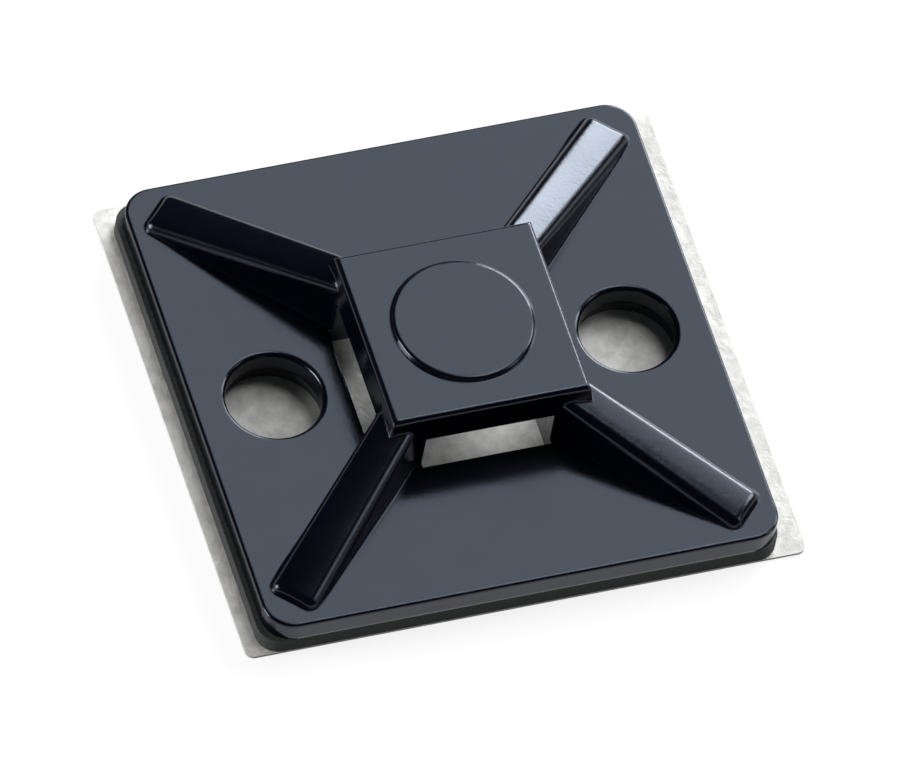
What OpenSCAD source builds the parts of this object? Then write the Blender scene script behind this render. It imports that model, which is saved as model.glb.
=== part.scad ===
// Adhesive four-way cable tie mount. One moulded body, a die-cut foam pad under it and a
// release liner under the pad. Z = 0 is the underside of the liner, the plate is centred on
// the Z axis and its screw holes lie on the X axis.

/* [Base plate] */
// Side of the square base plate, mm
plate_side = 28; // [25:0.5:40]
// Thickness of the base plate, mm
plate_t = 1.25; // [1:0.05:2]
// Radius of the plate's four corners, mm
plate_corner_r = 1.6; // [0.8:0.1:2.5]
// Radius of the round along the plate's top edge, mm
plate_edge_r = 0.15; // [0.1:0.05:0.6]

/* [Screw holes] */
// Diameter of the two screw holes, mm
hole_d = 5.1; // [3.5:0.1:5.4]
// Distance between the screw holes, mm
hole_pitch = 19.3; // [18.6:0.1:20.5]
// Radius of the round at the mouth of each screw hole, mm
hole_edge_r = 0.25; // [0.1:0.05:0.35]

/* [Saddle] */
// Side of the saddle's flat top, mm
saddle_side = 10.7; // [9:0.1:11.2]
// Height of the saddle's top above the plate, mm
saddle_rise = 3.85; // [3.4:0.05:5]
// Thickness of the saddle over the tie windows, mm
saddle_t = 1.85; // [1.4:0.05:2]
// How far the saddle's walls lean out between its top and its underside, mm
saddle_lean = 0.28; // [0.1:0.02:0.4]
// Radius of the round along the saddle's top edge, mm
saddle_edge_r = 0.26; // [0.1:0.02:0.26]
// How far the saddle and its posts sit off the plate's centre along X, mm
saddle_shift_x = 0.15; // [-0.3:0.05:0.3]
// How far the saddle and its posts sit off the plate's centre along Y, mm
saddle_shift_y = -0.1; // [-0.3:0.05:0.3]
// Diameter of the raised round boss on the saddle, mm
boss_d = 7.5; // [5:0.1:8]
// Height of the raised round boss, mm
boss_rise = 0.25; // [0.2:0.05:0.4]
// Radius of the round along the boss's rim, mm
boss_edge_r = 0.2; // [0.05:0.05:0.2]

/* [Tie windows] */
// Width of the four windows a tie goes through, mm
window_w = 7; // [5.5:0.1:7.2]
// Radius of the round on the saddle's lower edges, where a tie bears, mm
window_edge_r = 0.2; // [0.1:0.05:0.5]
// How far the well in the plate reaches past the saddle's foot, mm
well_margin = 0.26; // [0.15:0.01:0.4]

/* [Legs] */
// Width of a leg where it meets the plate, mm
leg_foot_w = 2.9; // [2.8:0.1:3.1]
// Width of a leg's top at the saddle, mm
leg_top_w = 2.3; // [1.8:0.1:2.4]
// Width of a leg's top at its outer end, mm
leg_toe_w = 2.7; // [2:0.1:2.8]
// Height of a leg's top above the plate where it meets the saddle, mm
leg_rise = 2.75; // [2.4:0.05:3.1]
// Height of a leg's top above the plate at its outer end, mm
leg_toe_rise = 0.5; // [0.45:0.05:0.8]
// Distance from the plate's rounded corner to a leg's outer end, mm
leg_gap = 1.5; // [1:0.1:3]
// Radius of the round along a leg's top edges, mm
leg_edge_r = 0.5; // [0.2:0.05:0.6]

/* [Foam pad] */
// How far the pad reaches past the plate along X, mm
pad_over_x = 0.14; // [0:0.02:0.4]
// How far the pad reaches past the plate along Y, mm
pad_over_y = 0; // [0:0.02:0.4]
// Thickness of the foam pad, mm
pad_t = 0.95; // [0.8:0.05:1.6]
// Radius of the pad's four corners, mm
pad_corner_r = 1.2; // [0.5:0.1:2.5]
// How far the pad sits off centre along X, mm
pad_shift = -0.14; // [-0.3:0.02:0.3]
// How much wider the pad's punched openings are than the plate's, mm
pad_relief = 0.2; // [0.1:0.05:0.4]

/* [Release liner] */
// How far the liner reaches past the pad along X, mm
liner_tab_x = 1.1; // [0.8:0.05:3]
// How far the liner reaches past the pad along Y, mm
liner_tab_y = 0.3; // [0.3:0.05:3]
// Thickness of the liner, mm
liner_t = 0.15; // [0.1:0.01:0.25]
// Radius of the liner's four corners, mm
liner_corner_r = 0.5; // [0.2:0.1:2]
// How far the liner sits off centre along X, mm
liner_shift_x = 0.2; // [-0.5:0.05:0.5]
// How far the liner sits off centre along Y, mm
liner_shift_y = 0.3; // [-0.3:0.05:0.3]

/* [Hidden] */
$fn = 64;
// overlap that keeps a fused joint or a cut from ending on a face
lap = 0.3;
pad_len = plate_side + 2 * pad_over_x;
pad_w = plate_side + 2 * pad_over_y;
liner_len = pad_len + 2 * liner_tab_x;
liner_w = pad_w + 2 * liner_tab_y;
pad_z = liner_t;
plate_z = pad_z + pad_t;
top_z = plate_z + plate_t;
saddle_z = top_z + saddle_rise;
under_z = saddle_z - saddle_t;
foot_side = saddle_side + 2 * saddle_lean;
well_side = foot_side + 2 * well_margin;
lean_angle = atan2(saddle_lean, saddle_t);
// distances along a diagonal from the centre: the plate's rounded corner, a leg's outer
// end, the saddle's foot, and a leg's inner end, which is buried in the corner post
corner_d = (plate_side / 2 - plate_corner_r) * sqrt(2) + plate_corner_r;
toe_d = corner_d - leg_gap;
foot_d = foot_side / 2 * sqrt(2);
root_d = foot_d - leg_foot_w / 2 - lap;
leg_slope = (leg_rise - leg_toe_rise) / (toe_d - foot_d);
root_rise = leg_rise + leg_slope * (foot_d - root_d);

// square with rounded corners, centred
module soft_square(a, b, r) {
    square([a - 2 * r, b], center = true);
    square([a, b - 2 * r], center = true);
    for (x = [-1, 1], y = [-1, 1])
        translate([x * (a / 2 - r), y * (b / 2 - r)]) circle(r = r);
}

// right half of a block's profile. The top lies half wide, the wall under it leans out by
// lean over the depth lean_h and then drops straight, and the top edge has the radius r.
module half_profile(half, h, r, lean, lean_h) {
    a = atan2(lean, lean_h);
    cx = half - r * (1 - sin(a)) / cos(a);
    polygon([
        [0, 0],
        [half + lean, 0],
        [half + lean, h - lean_h],
        [cx + r * cos(a), h - r + r * sin(a)],
        [cx, h],
        [0, h]
    ]);
    intersection() {
        translate([cx, h - r]) circle(r = r);
        square([half + r, h]);
    }
}

// square block with that profile on its four sides
module block(a, h, r, lean, lean_h) {
    intersection_for (turn = [0, 90])
        rotate([0, 0, turn])
            rotate([90, 0, 0])
                linear_extrude(height = a + 2 * lean + 1, center = true) {
                    half_profile(a / 2, h, r, lean, lean_h);
                    mirror([1, 0]) half_profile(a / 2, h, r, lean, lean_h);
                }
}

// cross-section of a slab whose two top edges are rounded
module loaf(w, h, r) {
    translate([-w / 2, 0]) square([w, h - r]);
    translate([-w / 2 + r, 0]) square([w - 2 * r, h]);
    for (x = [-1, 1]) translate([x * (w / 2 - r), h - r]) circle(r = r);
}

// slab with rounded corners and a rounded top edge
module soft_slab(a, h, rc, re) {
    for (turn = [0, 90])
        rotate([0, 0, turn])
            rotate([90, 0, 0])
                linear_extrude(height = a - 2 * rc, center = true) loaf(a, h, re);
    for (x = [-1, 1], y = [-1, 1])
        translate([x * (a / 2 - rc), y * (a / 2 - rc), 0])
            rotate_extrude() {
                square([rc, h - re]);
                square([rc - re, h]);
                translate([rc - re, h - re]) intersection() {
                    circle(r = re);
                    translate([-(rc - re), -re]) square([rc, 2 * re]);
                }
            }
}

// plus-shaped outline of the two crossing tie channels
module cross(reach, w) {
    square([reach, w], center = true);
    square([w, reach], center = true);
}

// what is cut away under one side of the saddle to round the edge a tie bears on
module bearing_round() {
    r = window_edge_r;
    cx = foot_side / 2 - r * (1 + sin(lean_angle)) / cos(lean_angle);
    rotate([90, 0, 0])
        linear_extrude(height = window_w, center = true)
            difference() {
                translate([cx, under_z - lap])
                    square([r + lap, r * (1 + sin(lean_angle)) + lap]);
                translate([cx, under_z + r]) circle(r = r);
            }
}

// what is cut away round the mouth of one screw hole
module mouth_round() {
    r = hole_edge_r;
    translate([0, 0, top_z])
        rotate_extrude()
            translate([hole_d / 2, 0])
                difference() {
                    translate([-lap, -r]) square([r + lap, r + lap]);
                    translate([r, -r]) circle(r = r);
                }
}

// puts the saddle, its windows and the well at the saddle's centre
module at_saddle() {
    translate([saddle_shift_x, saddle_shift_y, 0]) children();
}

// saddle on its four corner posts, with the raised boss; the windows are cut later
module saddle() {
    base = plate_z + plate_t / 2;
    translate([0, 0, base])
        block(saddle_side, saddle_z - base, saddle_edge_r, saddle_lean, saddle_t);
    translate([0, 0, saddle_z - lap])
        rotate_extrude() half_profile(boss_d / 2, boss_rise + lap, boss_edge_r, 0, boss_rise);
}

// one leg along +X, from its root in a corner post down to its toe on the plate
module leg() {
    r = leg_edge_r;
    foot = plate_z + plate_t / 3;
    hull()
        for (s = [-1, 1]) {
            translate([root_d, s * (leg_top_w / 2 - r), top_z + root_rise - r])
                sphere(r = r, $fn = 32);
            translate([toe_d - r, s * (leg_toe_w / 2 - r), top_z + leg_toe_rise - r])
                sphere(r = r, $fn = 32);
            for (x = [root_d, toe_d - r])
                translate([x, s * (leg_foot_w / 2 - r), foot])
                    cylinder(r = r, h = plate_t / 2, $fn = 32);
        }
}

module mount_body() {
    color("#23262b")
    difference() {
        union() {
            translate([0, 0, plate_z])
                soft_slab(plate_side, plate_t, plate_corner_r, plate_edge_r);
            at_saddle() saddle();
            for (turn = [45 : 90 : 315]) rotate([0, 0, turn]) leg();
        }
        for (s = [-1, 1]) translate([s * hole_pitch / 2, 0, 0]) {
            translate([0, 0, plate_z - lap]) cylinder(d = hole_d, h = plate_t + 2 * lap);
            mouth_round();
        }
        at_saddle() {
            translate([0, 0, plate_z - lap])
                linear_extrude(height = under_z - plate_z + lap) cross(well_side, window_w);
            for (turn = [0 : 90 : 270]) rotate([0, 0, turn]) bearing_round();
        }
    }
}

module foam_pad() {
    opening = well_side + 2 * pad_relief;
    color("#35373a")
    translate([0, 0, pad_z])
        linear_extrude(height = pad_t)
            difference() {
                translate([pad_shift, 0]) soft_square(pad_len, pad_w, pad_corner_r);
                for (s = [-1, 1]) translate([s * hole_pitch / 2, 0])
                    circle(d = hole_d + 2 * pad_relief);
                translate([saddle_shift_x, saddle_shift_y])
                    square([opening, opening], center = true);
            }
}

module release_liner() {
    color("#dcdcd8")
    translate([liner_shift_x, liner_shift_y, 0])
        linear_extrude(height = liner_t) soft_square(liner_len, liner_w, liner_corner_r);
}

mount_body();
foam_pad();
release_liner();
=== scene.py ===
import math

import bpy
from mathutils import Matrix, Vector


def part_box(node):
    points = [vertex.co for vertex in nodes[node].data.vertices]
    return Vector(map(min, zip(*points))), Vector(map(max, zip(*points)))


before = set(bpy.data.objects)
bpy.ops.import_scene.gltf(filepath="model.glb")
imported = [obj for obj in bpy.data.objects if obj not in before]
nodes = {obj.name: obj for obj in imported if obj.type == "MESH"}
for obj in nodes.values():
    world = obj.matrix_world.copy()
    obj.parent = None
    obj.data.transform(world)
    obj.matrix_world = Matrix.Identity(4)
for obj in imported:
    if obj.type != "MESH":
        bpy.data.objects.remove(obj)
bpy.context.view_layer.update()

MM = 0.001
PLATE_T = 1.25 * MM
SADDLE_FOOT = 11.26 * MM
plate_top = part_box("mount_body")[0].z + PLATE_T

# ---------------------------------------------------------------- node helpers


def empty_tree(owner):
    """The node tree of a material or a world, without its default nodes."""
    owner.use_nodes = True
    tree = owner.node_tree
    tree.nodes.clear()
    return tree


def new_material(name):
    mat = bpy.data.materials.new(name)
    tree = empty_tree(mat)
    out = tree.nodes.new("ShaderNodeOutputMaterial")
    bsdf = tree.nodes.new("ShaderNodeBsdfPrincipled")
    tree.links.new(bsdf.outputs["BSDF"], out.inputs["Surface"])
    return mat, tree, bsdf


def coordinates(tree):
    """Object coordinates in millimetres."""
    coord = tree.nodes.new("ShaderNodeTexCoord")
    mapping = tree.nodes.new("ShaderNodeMapping")
    mapping.inputs["Scale"].default_value = (1 / MM, 1 / MM, 1 / MM)
    tree.links.new(coord.outputs["Object"], mapping.inputs["Vector"])
    return mapping.outputs["Vector"]


def noise(tree, vector, scale, detail, rough=0.5, distortion=0.0):
    """Noise with about scale features to the millimetre."""
    node = tree.nodes.new("ShaderNodeTexNoise")
    node.inputs["Scale"].default_value = scale
    node.inputs["Detail"].default_value = detail
    node.inputs["Roughness"].default_value = rough
    node.inputs["Distortion"].default_value = distortion
    tree.links.new(vector, node.inputs["Vector"])
    return node.outputs["Fac"]


def spread(tree, value, low, high, to_low, to_high):
    """The value, with low to high stretched to to_low to to_high and held at the ends."""
    node = tree.nodes.new("ShaderNodeMapRange")
    node.inputs["From Min"].default_value = low
    node.inputs["From Max"].default_value = high
    node.inputs["To Min"].default_value = to_low
    node.inputs["To Max"].default_value = to_high
    tree.links.new(value, node.inputs["Value"])
    return node.outputs["Result"]


def ramp(tree, value, dark, light):
    """Colour between two stops, each of which is a place and a colour."""
    node = tree.nodes.new("ShaderNodeValToRGB")
    for element, (place, colour) in zip(node.color_ramp.elements, (dark, light)):
        element.position = place
        element.color = (*colour, 1.0)
    tree.links.new(value, node.inputs["Fac"])
    return node.outputs["Color"]


def math_node(tree, operation, a, b=None):
    node = tree.nodes.new("ShaderNodeMath")
    node.operation = operation
    tree.links.new(a, node.inputs[0])
    if b is not None:
        tree.links.new(b, node.inputs[1])
    return node.outputs["Value"]


def bump(tree, height, distance, below=None):
    """Normals of a relief, distance high where height is 1, on the normals below it."""
    node = tree.nodes.new("ShaderNodeBump")
    node.inputs["Strength"].default_value = 1.0
    node.inputs["Distance"].default_value = distance
    tree.links.new(height, node.inputs["Height"])
    if below is not None:
        tree.links.new(below, node.inputs["Normal"])
    return node.outputs["Normal"]


# ---------------------------------------------------------------- nylon

EDGE_RADIUS = 0.2 * MM
LEG_EDGE_RADIUS = 0.35 * MM
BEVEL_SAMPLES = 8

# a leg's crown, in millimetres: half its width and its height
CROWN_HALF = 1.2
CROWN_TOP = 0.09

# where the legs' rounding and crown set in, in millimetres past the saddle's foot and above
# the plate, and the heights above the plate between which the crown runs out at the saddle
ROUNDING_PAST = (0.3, 1.0)
ROUNDING_RISE = (0.03, 0.15)
CROWN_PAST = (-0.5, -0.35)
CROWN_RISE = (0.05, 0.5)
CROWN_RUN_OUT = (2.95, 3.8)

GRAIN_DEPTH = 0.004 * MM
SWELL_DEPTH = 0.008 * MM
NYLON_DARK = (0.0009, 0.0015, 0.0038)
NYLON_LIGHT = (0.0014, 0.0022, 0.0054)
NYLON_ROUGH = (0.14, 0.18)
NYLON_SHEEN = (0.70, 0.80, 1.0, 1.0)
NYLON_IOR = 1.5


def leg_parts(tree, at):
    """How far out sideways, how far off the nearest diagonal and how high a point lies."""
    axes = tree.nodes.new("ShaderNodeSeparateXYZ")
    tree.links.new(at, axes.inputs["Vector"])
    out_x = math_node(tree, "ABSOLUTE", axes.outputs["X"])
    out_y = math_node(tree, "ABSOLUTE", axes.outputs["Y"])
    beside = math_node(tree, "MAXIMUM", out_x, out_y)
    across = math_node(tree, "SUBTRACT", out_x, out_y)
    return beside, across, axes.outputs["Z"]


def above_plate(tree, height, start, end, to_start, to_end):
    """Value that runs from to_start to to_end between two heights above the plate's top."""
    floor_z = plate_top / MM
    return spread(tree, height, floor_z + start, floor_z + end, to_start, to_end)


def on_leg(tree, beside, height, past, rise):
    """Mask that is 1 on the four legs: it grows over past outward and over rise upward."""
    edge = SADDLE_FOOT / 2 / MM
    outside = spread(tree, beside, edge + past[0], edge + past[1], 0, 1)
    above = above_plate(tree, height, *rise, 0, 1)
    return math_node(tree, "MULTIPLY", outside, above)


def moulded_edges(tree, at):
    """Normals that round the edges, by a larger radius on the legs than elsewhere."""
    beside, _, height = leg_parts(tree, at)
    mask = on_leg(tree, beside, height, ROUNDING_PAST, ROUNDING_RISE)
    radius = spread(tree, mask, 0, 1, EDGE_RADIUS, LEG_EDGE_RADIUS)
    node = tree.nodes.new("ShaderNodeBevel")
    node.samples = BEVEL_SAMPLES
    tree.links.new(radius, node.inputs["Radius"])
    return node.outputs["Normal"]


def leg_crown(tree, at):
    """Height in millimetres of the slight crown across a leg's top."""
    beside, across, height = leg_parts(tree, at)
    # across is the root of 2 times the distance off the diagonal, hence the 2 below
    square = math_node(tree, "MULTIPLY", across, across)
    crown = spread(tree, square, 0, 2 * CROWN_HALF * CROWN_HALF, CROWN_TOP, 0)
    mask = on_leg(tree, beside, height, CROWN_PAST, CROWN_RISE)
    below_saddle = above_plate(tree, height, *CROWN_RUN_OUT, 1, 0)
    masked = math_node(tree, "MULTIPLY", crown, mask)
    return math_node(tree, "MULTIPLY", masked, below_saddle)


def nylon_material():
    mat, tree, bsdf = new_material("nylon_black")
    at = coordinates(tree)
    cloud = noise(tree, at, scale=0.35, detail=3.0)
    colour = ramp(tree, cloud, (0.3, NYLON_DARK), (0.7, NYLON_LIGHT))
    tree.links.new(colour, bsdf.inputs["Base Color"])
    rough = spread(tree, cloud, 0.3, 0.7, *NYLON_ROUGH)
    tree.links.new(rough, bsdf.inputs["Roughness"])
    bsdf.inputs["IOR"].default_value = NYLON_IOR
    bsdf.inputs["Specular Tint"].default_value = NYLON_SHEEN
    grain = noise(tree, at, scale=5.0, detail=3.0)
    swell = noise(tree, at, scale=0.6, detail=2.0)
    rounded = moulded_edges(tree, at)
    crowned = bump(tree, leg_crown(tree, at), 1.0 * MM, below=rounded)
    grained = bump(tree, grain, GRAIN_DEPTH, below=crowned)
    swollen = bump(tree, swell, SWELL_DEPTH, below=grained)
    tree.links.new(swollen, bsdf.inputs["Normal"])
    return mat


# ---------------------------------------------------------------- foam and liner

FOAM_DARK = (0.035, 0.037, 0.039)
FOAM_LIGHT = (0.070, 0.074, 0.076)
FOAM_ROUGH = 0.85
CELL_DEPTH = 0.05 * MM

# the liner's tone in the hollows and on the ridges of its folds: partly the sheet's own
# mottling and partly painted shade in the creases and painted light on the ridges
LINER_IN_HOLLOWS = (0.66, 0.65, 0.62)
LINER_ON_RIDGES = (0.88, 0.87, 0.84)
LINER_ROUGH = 0.3
FOLD_DEPTH = 0.06 * MM
CRUMPLE_DEPTH = 0.02 * MM


def foam_material():
    mat, tree, bsdf = new_material("foam_grey")
    at = coordinates(tree)
    cells = noise(tree, at, scale=6.0, detail=4.0, rough=0.6)
    colour = ramp(tree, cells, (0.3, FOAM_DARK), (0.7, FOAM_LIGHT))
    tree.links.new(colour, bsdf.inputs["Base Color"])
    bsdf.inputs["Roughness"].default_value = FOAM_ROUGH
    tree.links.new(bump(tree, cells, CELL_DEPTH), bsdf.inputs["Normal"])
    return mat


def liner_material():
    mat, tree, bsdf = new_material("liner_paper")
    at = coordinates(tree)
    folds = noise(tree, at, scale=1.2, detail=5.0, rough=0.6, distortion=0.4)
    crumple = noise(tree, at, scale=2.4, detail=4.0, rough=0.55, distortion=0.8)
    # the tone follows the fold relief, darker in its hollows and lighter on its ridges: partly
    # mottling and partly painted shade and light of the creases, on top of the real fold bumps
    colour = ramp(tree, folds, (0.36, LINER_IN_HOLLOWS), (0.64, LINER_ON_RIDGES))
    tree.links.new(colour, bsdf.inputs["Base Color"])
    bsdf.inputs["Roughness"].default_value = LINER_ROUGH
    folded = bump(tree, folds, FOLD_DEPTH)
    crumpled = bump(tree, crumple, CRUMPLE_DEPTH, below=folded)
    tree.links.new(crumpled, bsdf.inputs["Normal"])
    return mat


def dress(name, mat):
    data = nodes[name].data
    data.materials.clear()
    data.materials.append(mat)


dress("mount_body", nylon_material())
dress("foam_pad", foam_material())
dress("release_liner", liner_material())

# ---------------------------------------------------------------- floor

FLOOR_HALF = 3.0
FLOOR_DROP = 0.02 * MM
FLOOR_BOUNCE = (0.05, 0.05, 0.05, 1.0)
FLOOR_SHADED = (0.2, 0.2, 0.2, 1.0)
FLOOR_GLOW = 0.85
WHITE = (1.0, 1.0, 1.0)


def add_object(name, data):
    obj = bpy.data.objects.new(name, data)
    bpy.context.scene.collection.objects.link(obj)
    return obj


def seen_directly(tree):
    """1 for what the camera sees, also in a reflection or through glass, and 0 for the rest."""
    path = tree.nodes.new("ShaderNodeLightPath")
    glossy = path.outputs["Is Glossy Ray"]
    through = path.outputs["Is Transmission Ray"]
    mirrored = math_node(tree, "MAXIMUM", glossy, through)
    return math_node(tree, "MAXIMUM", path.outputs["Is Camera Ray"], mirrored)


def floor_material():
    """Dark for bounced light, and white where it is seen, with the object's shadow kept."""
    mat = bpy.data.materials.new("floor_white")
    tree = empty_tree(mat)
    out = tree.nodes.new("ShaderNodeOutputMaterial")
    bounce = tree.nodes.new("ShaderNodeBsdfDiffuse")
    bounce.inputs["Color"].default_value = FLOOR_BOUNCE
    shaded = tree.nodes.new("ShaderNodeBsdfDiffuse")
    shaded.inputs["Color"].default_value = FLOOR_SHADED
    glow = tree.nodes.new("ShaderNodeEmission")
    glow.inputs["Color"].default_value = (*WHITE, 1.0)
    glow.inputs["Strength"].default_value = FLOOR_GLOW
    lifted = tree.nodes.new("ShaderNodeAddShader")
    tree.links.new(shaded.outputs[0], lifted.inputs[0])
    tree.links.new(glow.outputs[0], lifted.inputs[1])
    mix = tree.nodes.new("ShaderNodeMixShader")
    tree.links.new(seen_directly(tree), mix.inputs["Fac"])
    tree.links.new(bounce.outputs[0], mix.inputs[1])
    tree.links.new(lifted.outputs[0], mix.inputs[2])
    tree.links.new(mix.outputs[0], out.inputs["Surface"])
    return mat


floor_signs = ((-1, -1), (1, -1), (1, 1), (-1, 1))
floor_corners = [(x * FLOOR_HALF, y * FLOOR_HALF, 0) for x, y in floor_signs]
floor_mesh = bpy.data.meshes.new("floor")
floor_mesh.from_pydata(floor_corners, [], [(0, 1, 2, 3)])
floor_mesh.materials.append(floor_material())
floor = add_object("floor", floor_mesh)
floor.location = (0, 0, -FLOOR_DROP)

# ---------------------------------------------------------------- lamps and world

LAMP_DISTANCE = 0.6
COOL = (0.97, 0.99, 1.0)
WARM = (1.0, 0.99, 0.97)
WORLD_COLOUR = (0.9, 0.95, 1.0, 1.0)
WORLD_STRENGTH = 0.03


def direction(azimuth, elevation):
    a = math.radians(azimuth)
    e = math.radians(elevation)
    return Vector((math.cos(e) * math.cos(a), math.cos(e) * math.sin(a), math.sin(e)))


def softbox(name, azimuth, elevation, across, upright, radiance, colour):
    """Area light of that radiance, across by upright degrees as seen from the object."""
    width = 2 * LAMP_DISTANCE * math.tan(math.radians(across / 2))
    height = 2 * LAMP_DISTANCE * math.tan(math.radians(upright / 2))
    light = bpy.data.lights.new(name, "AREA")
    light.shape = "RECTANGLE"
    light.size = width
    light.size_y = height
    light.energy = radiance * math.pi * width * height
    light.color = colour
    lamp = add_object(name, light)
    way = direction(azimuth, elevation)
    lamp.location = way * LAMP_DISTANCE
    lamp.rotation_euler = way.to_track_quat("Z", "Y").to_euler()


# behind: the even sheen of the flat tops and the bright back right leg
softbox("window_high", 51, 46, across=38, upright=34, radiance=2.7, colour=COOL)
softbox("window_low", 48, 20, across=31, upright=22, radiance=15.0, colour=COOL)
# above and at the sides: the edges and the liner
softbox("overhead_right", 32, 71, across=16, upright=16, radiance=6.5, colour=WHITE)
softbox("fill_right", 14, 34, across=17, upright=20, radiance=10.5, colour=WHITE)
softbox("edge_right", -26, 31, across=14, upright=25, radiance=3.0, colour=COOL)
softbox("fill_left", 172, 17, across=24, upright=22, radiance=15.0, colour=WARM)

world = bpy.data.worlds.new("studio")
bpy.context.scene.world = world
world_tree = empty_tree(world)
world_out = world_tree.nodes.new("ShaderNodeOutputWorld")
sky = world_tree.nodes.new("ShaderNodeBackground")
sky.inputs["Color"].default_value = WORLD_COLOUR
sky.inputs["Strength"].default_value = WORLD_STRENGTH
world_tree.links.new(sky.outputs[0], world_out.inputs["Surface"])

# ---------------------------------------------------------------- camera

# the direction from the object to the camera, the camera's roll, distance and lens, and how
# far the point that it looks at lies from the middle of the plate's top
VIEW_AZ = -116.30
VIEW_EL = 55.115
VIEW_ROLL = 11.40
VIEW_DIST = 1.2
LENS = 915.42
SENSOR = 36.0
AIM_RIGHT = 0.175 * MM
AIM_UP = -1.115 * MM
CLIP_NEAR = 0.01
CLIP_FAR = 50.0

away = direction(VIEW_AZ, VIEW_EL)
turn = math.radians(VIEW_AZ)
roll = math.radians(VIEW_ROLL)
level = Vector((-math.sin(turn), math.cos(turn), 0))
upward = away.cross(level)
right = math.cos(roll) * level + math.sin(roll) * upward
up = -math.sin(roll) * level + math.cos(roll) * upward
target = Vector((0, 0, plate_top)) + AIM_RIGHT * right + AIM_UP * up
place = target + away * VIEW_DIST

lens = bpy.data.cameras.new("camera")
lens.lens = LENS
lens.sensor_width = SENSOR
lens.clip_start = CLIP_NEAR
lens.clip_end = CLIP_FAR
camera = add_object("camera", lens)
camera.matrix_world = Matrix(
    (
        (right.x, up.x, away.x, place.x),
        (right.y, up.y, away.y, place.y),
        (right.z, up.z, away.z, place.z),
        (0, 0, 0, 1),
    )
)
bpy.context.scene.camera = camera
bpy.context.scene.view_settings.view_transform = "Standard"
